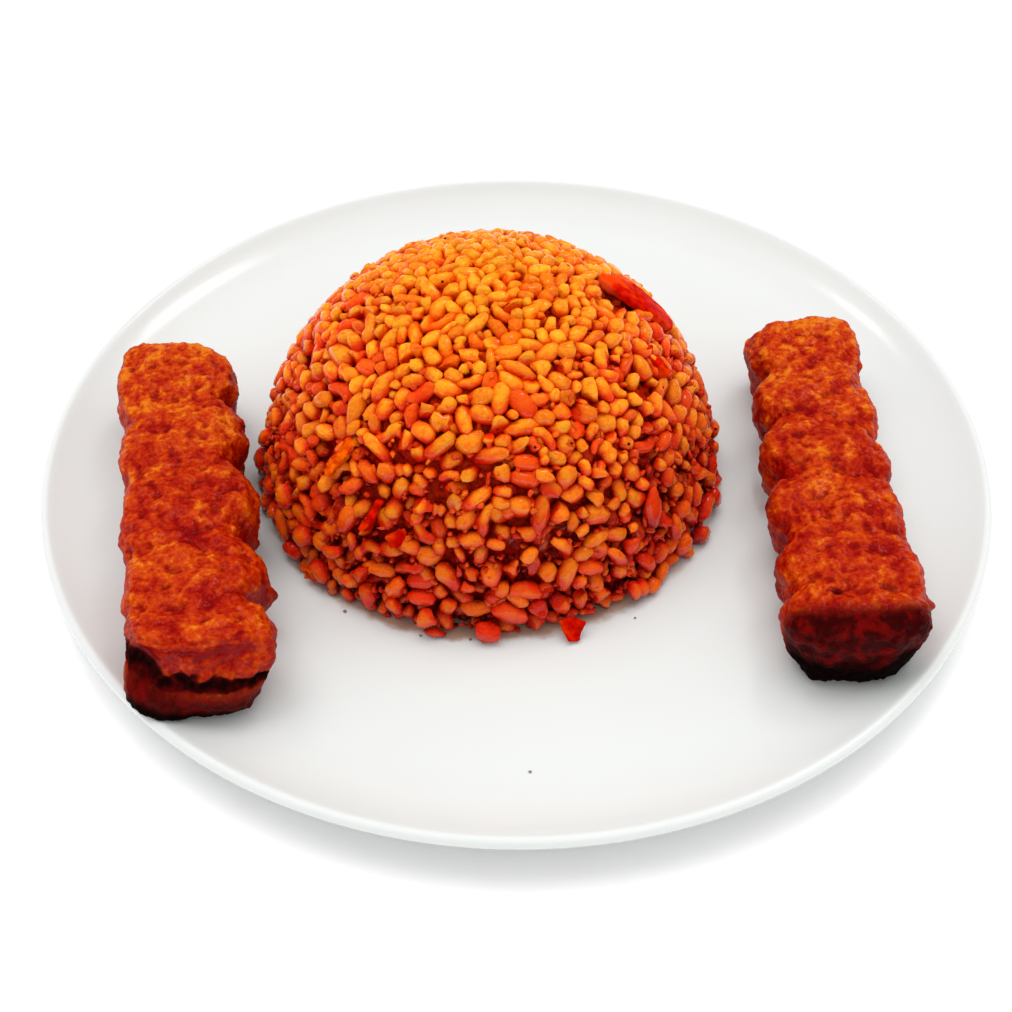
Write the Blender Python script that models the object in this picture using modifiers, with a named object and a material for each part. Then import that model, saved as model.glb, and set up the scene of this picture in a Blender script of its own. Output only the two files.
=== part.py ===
"""Bulgur pilaf turned out of a bowl onto a dinner plate, between two fried sticks.

The plate is a turned coupe shape on a foot ring. The pilaf is a closed half ball whose
skin is made of grain-sized bumps, with whole grains standing proud of it all over. A slice
of tomato is bedded in the dome and a curled scrap of tomato skin lies at its foot. The
fried sticks lie along the sides of the plate, whose wall lifts their near ends.
"""

import math
import random

import bmesh
import bpy
from mathutils import Matrix, Vector, noise

# Lengths are in metres. The origin is the plate's centre on the table, +Z is up and the
# front of the plate is -Y.
TOUCH_GAP = 0.0003

PLATE_RADIUS = 0.135
PLATE_STEPS = 64
FLOOR_TOP = 0.009
FLOOR_THICKNESS = 0.0045
WELL_RADIUS = 0.112
WALL_BEND = 0.034
WALL_STEPS = 4
LIP_RADIUS = 0.0016
LIP_STEPS = 3
FOOT_OUTER = 0.083
FOOT_INNER = 0.076
FOOT_EDGE = 0.0007

HEAP_X = -0.0077
HEAP_Y = -0.0043
HEAP_RADIUS = 0.0652
HEAP_SQUARENESS = 2.10
HEAP_LEAN = 0.010
FOOT_FLARE = 0.0013
BUMPS = 700
BUMP_JITTER = 0.24
BUMP_HALF_LENGTH = 0.0015
BUMP_UNEVENNESS = 0.00045
TOP_GAP_DEPTH = 0.0010
FOOT_GAP_DEPTH = 0.0019
FOOT_POINTS = 84
LOWEST_BUMP = 0.04

GRAIN_LENGTH = (0.0052, 0.0072)
GRAIN_WIDTH = (0.0035, 0.0047)
GRAIN_FLATNESS = 0.82
GRAIN_BEND = 0.0007
GRAIN_SINK = 0.0004
WHOLE_GRAINS = 28
FOOT_GRAINS = 14

SLICE_AZIMUTH = 11.5
SLICE_ELEVATION = 51.0
SLICE_LENGTH = 0.0270
SLICE_WIDTH = 0.0115
SLICE_THICKNESS = 0.0022
SLICE_PROUD = 0.0006
SLICE_TURN = -7.0

SCRAP_PLACE = (0.0141, -0.0713)
SCRAP_LENGTH = 0.0094
SCRAP_WIDTH = 0.0064
SCRAP_THICKNESS = 0.0011
SCRAP_CURL = 0.0020
SCRAP_LEAN = 38.0

STICK_ROUNDING = 0.0065
STICK_BASE_ROUNDING = 0.0042
STICK_GAP = 0.0004
STICK_CUTS = ((1, 29), (0, 4), (2, 3))
STICK_PINCH = 0.0024
STICK_PINCH_BIAS = 0.5
STICK_TOP_PINCH = 0.0010
STICK_PINCH_WIDTH = 0.034
STICK_PINCH_SKEW = 0.045
STICK_FAR_TAPER = 0.08
STICK_SLANT_REACH = 0.30
STICK_UNDERCUT = 0.0060
STICK_CRAG = 0.0011
STICK_CRAG_SIZE = 0.0085
CENTRE_ON_RIGHT = 1
CENTRE_ON_LEFT = -1

GOLDEN_TURN = math.pi * (3.0 - math.sqrt(5.0))


def clear_scene():
    for old in list(bpy.data.objects):
        bpy.data.objects.remove(old, do_unlink=True)


def new_collection(name):
    collection = bpy.data.collections.new(name)
    bpy.context.scene.collection.children.link(collection)
    return collection


def new_material(name, color, roughness):
    material = bpy.data.materials.new(name)
    material.use_nodes = True
    shader = material.node_tree.nodes["Principled BSDF"]
    shader.inputs["Base Color"].default_value = (*color, 1.0)
    shader.inputs["Roughness"].default_value = roughness
    shader.inputs["Metallic"].default_value = 0.0
    return material


def object_from(bm, name, collection, material=None):
    mesh = bpy.data.meshes.new(name)
    bm.to_mesh(mesh)
    bm.free()
    thing = bpy.data.objects.new(name, mesh)
    collection.objects.link(thing)
    if material:
        mesh.materials.append(material)
    return thing


def plate_top(radius):
    """Height of the plate's upper face at a distance from its centre."""
    if radius <= WELL_RADIUS:
        return FLOOR_TOP
    out = min(radius, PLATE_RADIUS) - WELL_RADIUS
    return FLOOR_TOP + WALL_BEND - math.sqrt(WALL_BEND ** 2 - out ** 2)


def plate_profile():
    """Half of the plate's section, from the middle of its floor over the lip to the foot."""
    lip_arc = WALL_BEND + LIP_RADIUS
    lip_angle = math.asin((PLATE_RADIUS - LIP_RADIUS - WELL_RADIUS) / lip_arc)
    bend_height = FLOOR_TOP + WALL_BEND
    points = [(0.0, FLOOR_TOP)]
    for step in range(WALL_STEPS + 1):
        angle = lip_angle * step / WALL_STEPS
        points.append((WELL_RADIUS + WALL_BEND * math.sin(angle), bend_height - WALL_BEND * math.cos(angle)))
    lip_x = WELL_RADIUS + lip_arc * math.sin(lip_angle)
    lip_z = bend_height - lip_arc * math.cos(lip_angle)
    for step in range(1, LIP_STEPS):
        angle = math.pi / 2 + lip_angle - math.pi * step / LIP_STEPS
        points.append((lip_x + LIP_RADIUS * math.cos(angle), lip_z + LIP_RADIUS * math.sin(angle)))
    for step in range(WALL_STEPS, -1, -1):
        angle = lip_angle * step / WALL_STEPS
        thickness = FLOOR_THICKNESS + (2 * LIP_RADIUS - FLOOR_THICKNESS) * step / WALL_STEPS
        arc = WALL_BEND + thickness
        points.append((WELL_RADIUS + arc * math.sin(angle), bend_height - arc * math.cos(angle)))
    underside = FLOOR_TOP - FLOOR_THICKNESS
    points.append((FOOT_OUTER + FOOT_EDGE, underside))
    points.append((FOOT_OUTER, FOOT_EDGE))
    points.append((FOOT_OUTER - FOOT_EDGE, 0.0))
    points.append((FOOT_INNER + FOOT_EDGE, 0.0))
    points.append((FOOT_INNER, FOOT_EDGE))
    points.append((FOOT_INNER - FOOT_EDGE, underside))
    points.append((0.0, underside))
    return points


def build_plate(collection):
    bm = bmesh.new()
    rim = [bm.verts.new((x, 0.0, z)) for x, z in plate_profile()]
    for start, end in zip(rim, rim[1:]):
        bm.edges.new((start, end))
    plate = object_from(bm, "plate", collection, new_material("porcelain", (0.86, 0.86, 0.84), 0.16))
    screw = plate.modifiers.new("turned", "SCREW")
    screw.steps = PLATE_STEPS
    screw.render_steps = PLATE_STEPS
    screw.use_merge_vertices = True
    screw.merge_threshold = 0.0001
    screw.use_smooth_shade = True
    return plate


def heap_centre():
    return Vector((HEAP_X, HEAP_Y, FLOOR_TOP + TOUCH_GAP))


def direction(azimuth, elevation):
    """Unit vector from degrees, azimuth from +X towards +Y and elevation above the floor."""
    around = math.radians(azimuth)
    above = math.radians(elevation)
    return Vector((math.cos(above) * math.cos(around), math.cos(above) * math.sin(around), math.sin(above)))


def even_directions(count, lowest, start_turn=0.0):
    """Directions spread evenly over the upper half of a ball, down to a lowest height."""
    spread = []
    for index in range(count):
        height = 1.0 - (1.0 - lowest) * (index + 0.5) / count
        flat = math.sqrt(1.0 - height * height)
        turn = start_turn + index * GOLDEN_TURN
        spread.append(Vector((flat * math.cos(turn), flat * math.sin(turn), height)))
    return spread


def on_dome(spot, offset=0.0):
    """The point of the bowl-shaped surface in a direction, with an offset along it."""
    flat = math.hypot(spot.x, spot.y)
    power = HEAP_SQUARENESS
    reach = HEAP_RADIUS * (flat ** power + max(spot.z, 0.0) ** power) ** (-1.0 / power)
    reach += FOOT_FLARE * (1.0 - spot.z) ** 6
    point = spot * (reach + offset)
    point.x += HEAP_LEAN * point.z
    return heap_centre() + point


def bump_middles(rng):
    """A slightly irregular direction for each bump."""
    spacing = math.sqrt(2.0 * math.pi / BUMPS)
    middles = []
    for spot in even_directions(BUMPS, LOWEST_BUMP):
        shift = Vector((rng.uniform(-1, 1), rng.uniform(-1, 1), rng.uniform(-1, 1))) * BUMP_JITTER * spacing
        moved = (spot + shift).normalized()
        moved.z = max(moved.z, LOWEST_BUMP)
        middles.append(moved.normalized())
    return middles


def hull_of(spots):
    """The skin over directions on the upper half of a ball, open at its foot."""
    bm = bmesh.new()
    for spot in spots:
        bm.verts.new(spot)
    pole = bm.verts.new((0.0, 0.0, -1.0))
    bmesh.ops.convex_hull(bm, input=bm.verts)
    bmesh.ops.delete(bm, geom=[pole], context="VERTS")
    return bm


def dent_directions(middles, foot):
    """Where three bumps meet: the middle of each face of the skin drawn over them."""
    bm = hull_of(middles + foot)
    bm.normal_update()
    dents = [face.normal.copy() for face in bm.faces if face.normal.z > LOWEST_BUMP]
    bm.free()
    return dents


def build_bumpy_dome(collection, material, rng):
    """The heap's skin: a short ridge for each grain that shows, over one closed half ball."""
    middles = bump_middles(rng)
    foot = []
    for index in range(FOOT_POINTS):
        turn = 2.0 * math.pi * (index + rng.uniform(-0.2, 0.2)) / FOOT_POINTS
        foot.append(Vector((math.cos(turn), math.sin(turn), 0.0)))
    spots = []
    offsets = []
    for middle in middles:
        half = tangent_frame(middle, rng.uniform(0.0, math.pi)) @ Vector((0.0, BUMP_HALF_LENGTH / HEAP_RADIUS, 0.0))
        height = rng.uniform(-1, 1) * BUMP_UNEVENNESS
        slope = rng.uniform(-1, 1) * BUMP_UNEVENNESS
        for side in (-1, 1):
            spots.append((middle + half * side).normalized())
            offsets.append(height + slope * side)
    for index, spot in enumerate(foot):
        in_dent = index % 2
        spots.append(spot)
        offsets.append(-in_dent * 2.0 * FOOT_GAP_DEPTH - rng.uniform(0, 1) * BUMP_UNEVENNESS)
    for dent in dent_directions(middles, foot):
        depth = FOOT_GAP_DEPTH + (TOP_GAP_DEPTH - FOOT_GAP_DEPTH) * dent.z
        spots.append(dent)
        offsets.append(-depth * rng.uniform(0.8, 1.2))
    bm = hull_of(spots)
    bm.verts.index_update()
    for vert, spot, offset in zip(bm.verts, spots, offsets):
        vert.co = on_dome(spot, offset)
    edge = [side for side in bm.edges if side.is_boundary]
    sides = bmesh.ops.extrude_edge_only(bm, edges=edge)["geom"]
    inner = [item for item in sides if isinstance(item, bmesh.types.BMVert)]
    bmesh.ops.pointmerge(bm, verts=inner, merge_co=heap_centre())
    bmesh.ops.recalc_face_normals(bm, faces=bm.faces)
    return object_from(bm, "bulgur_heap", collection, material)


def tangent_frame(normal, heading):
    """Axes on the dome at a direction: across, along its heading, and outward."""
    east = Vector((0.0, 0.0, 1.0)).cross(normal).normalized()
    north = normal.cross(east)
    along = east * math.cos(heading) + north * math.sin(heading)
    return Matrix((along.cross(normal), along, normal)).transposed()


def add_grain(collection, name, spot, tilt, rng):
    """One plump, slightly curved grain, half sunk into the skin and turned any way."""
    length = rng.uniform(*GRAIN_LENGTH)
    width = rng.uniform(*GRAIN_WIDTH)
    bend = rng.uniform(-1, 1) * GRAIN_BEND
    bm = bmesh.new()
    bmesh.ops.create_uvsphere(bm, u_segments=6, v_segments=4, radius=0.5)
    lean = Matrix.Rotation(tilt, 3, "X")
    turned = tangent_frame(spot, rng.uniform(0, math.pi))
    middle = on_dome(spot, -GRAIN_SINK)
    for vert in bm.verts:
        along = 2.0 * vert.co.z
        shape = Vector((vert.co.x * width + bend * along ** 2, along * length / 2, vert.co.y * width * GRAIN_FLATNESS))
        vert.co = middle + turned @ (lean @ shape)
        vert.co.z = max(vert.co.z, FLOOR_TOP + TOUCH_GAP)
    bmesh.ops.recalc_face_normals(bm, faces=bm.faces)
    return object_from(bm, name, collection)


def build_grains(collection, rng):
    """Whole grains all over the dome, and a row that stands round its foot."""
    slice_middle = direction(SLICE_AZIMUTH, SLICE_ELEVATION)
    slice_reach = (SLICE_LENGTH / 2 + GRAIN_LENGTH[1]) / HEAP_RADIUS
    scrap_turn = math.atan2(SCRAP_PLACE[1] - HEAP_Y, SCRAP_PLACE[0] - HEAP_X)
    spots = even_directions(WHOLE_GRAINS, 0.16, start_turn=0.7)
    for index in range(FOOT_GRAINS):
        turn = 2.0 * math.pi * (index + rng.uniform(-0.3, 0.3)) / FOOT_GRAINS
        away = abs(math.remainder(turn - scrap_turn, 2.0 * math.pi))
        if away * HEAP_RADIUS > SCRAP_LENGTH / 2 + GRAIN_LENGTH[1]:
            spots.append(direction(math.degrees(turn), rng.uniform(1.5, 5.0)))
    for index, spot in enumerate(spots):
        if spot.angle(slice_middle) > slice_reach:
            add_grain(collection, f"grain_{index}", spot, rng.uniform(-0.35, 0.35), rng)


def slice_outline(margin):
    """A rounded patch of the dome's surface, as large as the slice and a margin round it."""
    middle = direction(SLICE_AZIMUTH, SLICE_ELEVATION)
    frame = tangent_frame(middle, math.radians(90.0 + SLICE_TURN))
    bm = bmesh.new()
    bmesh.ops.create_grid(bm, x_segments=5, y_segments=10, size=1.0)
    for vert in bm.verts:
        across = vert.co.x * math.sqrt(1.0 - 0.42 * vert.co.y ** 2)
        along = vert.co.y * math.sqrt(1.0 - 0.42 * vert.co.x ** 2)
        waist = 1.0 - 0.22 * along - 0.10 * math.cos(3.0 * along)
        flat = Vector((across * (SLICE_WIDTH / 2 * waist + margin), along * (SLICE_LENGTH / 2 + margin), 0.0))
        spot = (middle * HEAP_RADIUS + frame @ flat).normalized()
        wave = 0.0003 * math.sin(5.0 * along + 1.0) * across
        vert.co = on_dome(spot, SLICE_PROUD + margin + wave)
    return bm


def thicken(thing, thickness):
    shell = thing.modifiers.new("thickness", "SOLIDIFY")
    shell.thickness = thickness
    shell.offset = -1.0
    shell.use_even_offset = False


def build_tomato_slice(collection, material):
    tomato = object_from(slice_outline(0.0), "tomato_slice", collection, material)
    thicken(tomato, SLICE_THICKNESS)
    return tomato


def build_bed_cutter(collection):
    """The slice's own shape, a touch larger, which leaves its bed in the dome."""
    cutter = object_from(slice_outline(TOUCH_GAP), "slice_bed", collection)
    thicken(cutter, SLICE_THICKNESS + 2 * TOUCH_GAP)
    cutter.hide_render = True
    cutter.display_type = "WIRE"
    return cutter


def build_tomato_scrap(collection, material):
    """A curled flake that leans on the foot of the dome with its lower edge on the plate."""
    bm = bmesh.new()
    bmesh.ops.create_grid(bm, x_segments=6, y_segments=5, size=1.0)
    outward = math.atan2(SCRAP_PLACE[1] - HEAP_Y, SCRAP_PLACE[0] - HEAP_X)
    lean = Matrix.Rotation(math.radians(SCRAP_LEAN), 3, "X")
    turn = Matrix.Rotation(outward + math.pi / 2, 3, "Z")
    for vert in bm.verts:
        across = vert.co.x * math.sqrt(1.0 - 0.40 * vert.co.y ** 2)
        along = vert.co.y * math.sqrt(1.0 - 0.40 * vert.co.x ** 2)
        tip = 1.0 - 0.22 * (1.0 - along)
        curl = SCRAP_CURL * across ** 2 + 0.0004 * math.sin(4.0 * along + across)
        vert.co = turn @ (lean @ Vector((across * tip * SCRAP_LENGTH / 2, along * SCRAP_WIDTH / 2, curl)))
    scrap = object_from(bm, "tomato_scrap", collection, material)
    thicken(scrap, SCRAP_THICKNESS)
    apply_modifiers(scrap)
    lowest = min(vert.co.z for vert in scrap.data.vertices)
    rest = Vector((*SCRAP_PLACE, FLOOR_TOP + TOUCH_GAP - lowest))
    scrap.data.transform(Matrix.Translation(rest))
    return scrap


def apply_modifiers(thing):
    """Swap an object's mesh for the shape that its modifiers make."""
    depsgraph = bpy.context.evaluated_depsgraph_get()
    shaped = bpy.data.meshes.new_from_object(thing.evaluated_get(depsgraph))
    thing.modifiers.clear()
    thing.data = shaped


def keep_largest_shell(thing):
    """Drop loose scraps and fill sealed hollows, which are small shells of their own."""
    bm = bmesh.new()
    bm.from_mesh(thing.data)
    bmesh.ops.remove_doubles(bm, verts=bm.verts, dist=0.000002)
    bmesh.ops.dissolve_degenerate(bm, edges=bm.edges, dist=0.000002)
    seen = set()
    shells = []
    for start in bm.verts:
        if start in seen:
            continue
        shell = {start}
        front = [start]
        while front:
            vert = front.pop()
            for edge in vert.link_edges:
                other = edge.other_vert(vert)
                if other not in shell:
                    shell.add(other)
                    front.append(other)
        seen |= shell
        shells.append(shell)
    largest = max(shells, key=len)
    loose = [vert for vert in bm.verts if vert not in largest]
    bmesh.ops.delete(bm, geom=loose, context="VERTS")
    bm.to_mesh(thing.data)
    bm.free()


def boolean(thing, operation, operand, of_collection=False):
    """Join or cut an object by a solid, or by all solids of a collection."""
    modifier = thing.modifiers.new(operation.lower(), "BOOLEAN")
    modifier.operation = operation
    modifier.solver = "EXACT"
    if of_collection:
        modifier.operand_type = "COLLECTION"
        modifier.collection = operand
    else:
        modifier.object = operand
    bpy.context.view_layer.update()
    apply_modifiers(thing)


def build_heap(collection, cutters):
    rng = random.Random(7)
    bulgur = new_material("bulgur", (0.80, 0.27, 0.03), 0.32)
    heap = build_bumpy_dome(collection, bulgur, rng)
    grains = new_collection("whole_grains")
    build_grains(grains, rng)
    boolean(heap, "UNION", grains, of_collection=True)
    for grain in list(grains.objects):
        bpy.data.objects.remove(grain, do_unlink=True)
    bpy.data.collections.remove(grains)
    boolean(heap, "DIFFERENCE", build_bed_cutter(cutters))
    keep_largest_shell(heap)
    return heap


def lobed_block(width, length, height, pinches, far_slant, centre_side, seed):
    """A soft brick, pinched into lobes, undercut and cut back at its far end towards the centre."""
    bm = bmesh.new()
    bmesh.ops.create_cube(bm, size=1.0)
    for axis, cuts in STICK_CUTS:
        edges = [edge for edge in bm.edges if abs(edge.verts[0].co[axis] - edge.verts[1].co[axis]) > 0.5]
        bmesh.ops.subdivide_edges(bm, edges=edges, cuts=cuts, use_grid_fill=True)
    for vert in bm.verts:
        across, along, above = vert.co
        from_far = 0.5 - along
        pinch = 0.0
        for place in pinches:
            away = from_far - place + STICK_PINCH_SKEW * centre_side * across
            pinch = max(pinch, math.exp(-(away / STICK_PINCH_WIDTH) ** 2))
        narrow = 1.0 - STICK_FAR_TAPER * (1.0 - from_far)
        side_pinch = STICK_PINCH * pinch * (1.0 + 2.0 * STICK_PINCH_BIAS * centre_side * across)
        half = Vector((narrow * width / 2 - side_pinch, length / 2, height / 2 - STICK_TOP_PINCH * pinch))
        spot = Vector((2 * across * half.x, 2 * along * half.y, 2 * above * half.z))
        radius = STICK_ROUNDING if above > 0 else STICK_BASE_ROUNDING
        core = Vector([max(radius - side, min(side - radius, value)) for side, value in zip(half, spot)])
        out = (spot - core).normalized()
        spot = core + out * radius
        crag = noise.noise(spot / STICK_CRAG_SIZE + Vector((seed, 0.0, 0.0)))
        spot += out * STICK_CRAG * crag
        inward = 0.5 + centre_side * across
        spot.x -= centre_side * STICK_UNDERCUT * inward * max(0.0, 0.4 - above) ** 2
        near_far_end = max(0.0, 1.0 - from_far / STICK_SLANT_REACH)
        spot.y -= far_slant * inward ** 2 * near_far_end
        vert.co = spot
    return bm


def build_stick(name, collection, material, width, length, height, place, yaw, pinches, far_slant,
                centre_side, near_rise, seed):
    """A fried stick laid on the plate, its outer near corner lifted by the plate's wall."""
    bm = lobed_block(width, length, height, pinches, far_slant, centre_side, seed)
    turn = Matrix.Rotation(math.radians(yaw), 3, "Z")
    base = FLOOR_TOP + STICK_GAP + height / 2
    for vert in bm.verts:
        near = 0.5 - vert.co.y / length
        outer = 0.5 - centre_side * vert.co.x / width
        spot = turn @ vert.co
        spot += Vector((place[0], place[1], base + near_rise * near * outer))
        spot.z = max(spot.z, plate_top(math.hypot(spot.x, spot.y)) + STICK_GAP)
        vert.co = spot
    return object_from(bm, name, collection, material)


def smooth(thing):
    thing.data.shade_smooth()
    thing.data.set_sharp_from_angle(angle=math.radians(50))


def main():
    clear_scene()
    dish = new_collection("bulgur_pilaf")
    cutters = new_collection("cutters")
    build_plate(dish)
    heap = build_heap(dish, cutters)
    tomato = new_material("tomato", (0.72, 0.035, 0.01), 0.2)
    build_tomato_slice(dish, tomato)
    scrap = build_tomato_scrap(dish, tomato)
    crust = new_material("fried_crust", (0.60, 0.10, 0.02), 0.35)
    left = build_stick("fried_stick_left", dish, crust, width=0.0352, length=0.1280, height=0.0245,
                       place=(-0.0873, -0.0366), yaw=13.0, pinches=(0.25, 0.46, 0.67, 0.85), far_slant=0.011,
                       centre_side=CENTRE_ON_RIGHT, near_rise=0.0050, seed=3.0)
    right = build_stick("fried_stick_right", dish, crust, width=0.0350, length=0.1260, height=0.0225,
                        place=(0.0838, -0.0252), yaw=-1.8, pinches=(0.21, 0.39, 0.56, 0.73, 0.88), far_slant=0.005,
                        centre_side=CENTRE_ON_LEFT, near_rise=0.0044, seed=8.0)
    for piece in (heap, scrap, left, right):
        smooth(piece)


main()
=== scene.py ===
import math

import bmesh
import bpy
import numpy as np
from mathutils import Matrix, Vector, kdtree, noise


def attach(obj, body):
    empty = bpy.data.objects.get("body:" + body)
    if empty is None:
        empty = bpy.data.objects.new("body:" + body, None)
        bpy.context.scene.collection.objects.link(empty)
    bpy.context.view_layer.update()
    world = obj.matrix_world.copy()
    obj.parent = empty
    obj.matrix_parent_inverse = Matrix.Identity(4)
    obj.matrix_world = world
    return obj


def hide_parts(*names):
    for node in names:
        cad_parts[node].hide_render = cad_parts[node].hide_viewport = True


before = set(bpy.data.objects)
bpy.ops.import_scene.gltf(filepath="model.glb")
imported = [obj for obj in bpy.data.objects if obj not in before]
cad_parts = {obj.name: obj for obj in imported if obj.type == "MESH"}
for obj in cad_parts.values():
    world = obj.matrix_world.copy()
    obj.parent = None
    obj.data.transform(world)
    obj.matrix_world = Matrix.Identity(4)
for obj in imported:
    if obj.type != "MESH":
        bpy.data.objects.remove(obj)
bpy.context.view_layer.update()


# ---- Table top, lamps and camera ----
# The dish stands on a plain pale table. Two wide lamps stand behind it, left and right, and a
# window's glow comes from above. The camera looks down as a diner does.

def srgb(red, green, blue):
    """A colour given in screen numbers, 0 to 255, as a shader takes it."""
    return tuple((value / 255.0) ** 2.2 for value in (red, green, blue)) + (1.0,)


class Finish:
    """A shader value of a finish, which is added, taken away and multiplied in plain arithmetic."""

    def __init__(self, tree, socket=None):
        self.tree = tree
        self.socket = socket

    def node(self, kind, settings=None, inputs=None, output=0):
        """Adds any node: its settings first, then the values or links of its sockets."""
        made = self.tree.nodes.new(kind)
        for name, value in (settings or {}).items():
            setattr(made, name, value)
        for name, value in (inputs or {}).items():
            if isinstance(value, Finish):
                self.tree.links.new(value.socket, made.inputs[name])
            else:
                made.inputs[name].default_value = value
        return Finish(self.tree, made.outputs[output])

    def maths(self, operation, first, second=0.0):
        """One Math node on two values."""
        return self.node("ShaderNodeMath", {"operation": operation}, {0: first, 1: second})

    def __add__(self, other):
        return self.maths("ADD", self, other)

    def __sub__(self, other):
        return self.maths("SUBTRACT", self, other)

    def __rsub__(self, other):
        return self.maths("SUBTRACT", other, self)

    def __mul__(self, other):
        return self.maths("MULTIPLY", self, other)

    def __gt__(self, other):
        return self.maths("GREATER_THAN", self, other)

    __radd__ = __add__
    __rmul__ = __mul__

    def ramp(self, low, high):
        """0 below low, 1 above high, and a soft slope between them."""
        return self.node(
            "ShaderNodeMapRange",
            {"interpolation_type": "SMOOTHSTEP"},
            {"Value": self, "From Min": low, "From Max": high},
        )

    def grain(self, size, detail=3.0, roughness=0.55, shift=(0.0, 0.0, 0.0)):
        """Cloudy noise whose patches are about that size in metres."""
        place = self.node("ShaderNodeTexCoord", output="Object")
        place = self.node("ShaderNodeVectorMath", {"operation": "ADD"}, {0: place, 1: shift})
        return self.node(
            "ShaderNodeTexNoise",
            None,
            {"Vector": place, "Scale": 1.0 / size, "Detail": detail, "Roughness": roughness},
        )

    def tint(self, mask, under, over):
        """One colour laid over another where the mask is 1."""
        return self.node("ShaderNodeMix", {"data_type": "RGBA"}, {0: mask, 6: under, 7: over}, 2)

    def way_from(self, spot, stretch=(1.0, 1.0, 1.0)):
        """How far each place lies from a spot along the three axes, stretched by that much."""
        place = self.node("ShaderNodeTexCoord", output="Object")
        way = self.node("ShaderNodeVectorMath", {"operation": "SUBTRACT"}, {0: place, 1: spot})
        return self.node("ShaderNodeVectorMath", {"operation": "MULTIPLY"}, {0: way, 1: stretch})

    def length(self):
        """The straight distance along such a way."""
        return self.node("ShaderNodeVectorMath", {"operation": "LENGTH"}, {0: self}, "Value")

    def bump(self, height, distance):
        """Fine relief whose crests stand that many metres proud."""
        return self.node("ShaderNodeBump", None, {"Height": height, "Distance": distance, "Strength": 1.0})


def start_finish(name, **fixed):
    """A new material, its blank finish, and its shader with the fixed values set."""
    material = bpy.data.materials.new(name)
    material.use_nodes = True
    shader = material.node_tree.nodes["Principled BSDF"]
    for socket, value in fixed.items():
        shader.inputs[socket.replace("_", " ")].default_value = value
    return material, Finish(material.node_tree), shader


def feed(shader, **values):
    """Joins finished values to the shader's sockets."""
    for socket, value in values.items():
        value.tree.links.new(value.socket, shader.inputs[socket.replace("_", " ")])


def start_primitive():
    """Leaves edit mode and lets go of everything, so that the next piece is alone."""
    if bpy.context.object and bpy.context.object.mode != "OBJECT":
        bpy.ops.object.mode_set(mode="OBJECT")
    bpy.ops.object.select_all(action="DESELECT")


start_primitive()
bpy.ops.mesh.primitive_plane_add(size=9.0)
table_top = bpy.context.object
table_top.name = "table_top"
board, cloudy, shader = start_finish("pale_table", Roughness=0.85)
feed(shader, Base_Color=cloudy.tint(cloudy.grain(0.4), srgb(249, 249, 249), srgb(252, 252, 252)))
table_top.data.materials.append(board)

glow = bpy.data.worlds.new("window_glow")
glow.use_nodes = True
sky = glow.node_tree.nodes["Background"]
sky.inputs["Color"].default_value = (1.0, 1.0, 1.0, 1.0)
sky.inputs["Strength"].default_value = 1.0
glow.cycles_visibility.glossy = False
bpy.context.scene.world = glow

for turn, lean, strength, spread in ((-60.0, 20.0, 0.76, 34.0), (46.0, 14.0, 0.52, 34.0)):
    bpy.ops.object.light_add(type="SUN", rotation=(0.0, 0.0, 0.0))
    lamp = bpy.context.object
    lamp.name = "lamp_left" if turn < 0.0 else "lamp_right"
    away = Vector((math.sin(math.radians(turn)), math.cos(math.radians(turn)), 0.0))
    away = away * math.sin(math.radians(lean)) + Vector((0.0, 0.0, math.cos(math.radians(lean))))
    lamp.rotation_euler = away.to_track_quat("Z", "Y").to_euler()
    lamp.data.energy = strength
    lamp.data.angle = math.radians(spread)
    lamp.visible_glossy = False

for name, spot, turn, rise, width, height, power in (
    ("softbox_left", (-0.1003, 0.0695, 0.0105), 48.0, 57.0, 0.46, 0.66, 8.0),
    ("softbox_right", (0.1171, 0.0326, 0.0102), 128.0, 55.0, 0.27, 0.33, 2.6),
):
    turn, rise = math.radians(turn), math.radians(rise)
    away = Vector((math.cos(turn) * math.cos(rise), math.sin(turn) * math.cos(rise), math.sin(rise)))
    bpy.ops.object.light_add(type="AREA", location=Vector(spot) + away * 3.0)
    softbox = bpy.context.object
    softbox.name = name
    softbox.rotation_euler = away.to_track_quat("Z", "Y").to_euler()
    softbox.data.shape = "RECTANGLE"
    softbox.data.size = width
    softbox.data.size_y = height
    softbox.data.energy = power

bpy.ops.object.camera_add(
    location=(-0.002837, -0.292984, 0.285932),
    rotation=(math.radians(44.2854), 0.0, 0.0),
)
camera = bpy.context.object
camera.data.lens = 48.628
camera.data.sensor_width = 36.0
camera.data.clip_start = 0.01
bpy.context.scene.camera = camera
bpy.context.scene.view_settings.view_transform = "Standard"


# ---- Plate ----
# A round coupe plate of white porcelain, 270 mm across: a flat floor that curves up into a low
# wall with a rounded lip, all under one clear glaze, on a foot ring.

WELL_RADIUS = 0.112
FLOOR_TOP = 0.009
WALL_BEND = 0.034
PLATE_RADIUS = 0.135


def plate_top(radius):
    """Height of the plate's upper face at that distance from its middle."""
    out = max(0.0, min(radius, PLATE_RADIUS) - WELL_RADIUS)
    return FLOOR_TOP + WALL_BEND - math.sqrt(WALL_BEND ** 2 - out ** 2)


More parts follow.
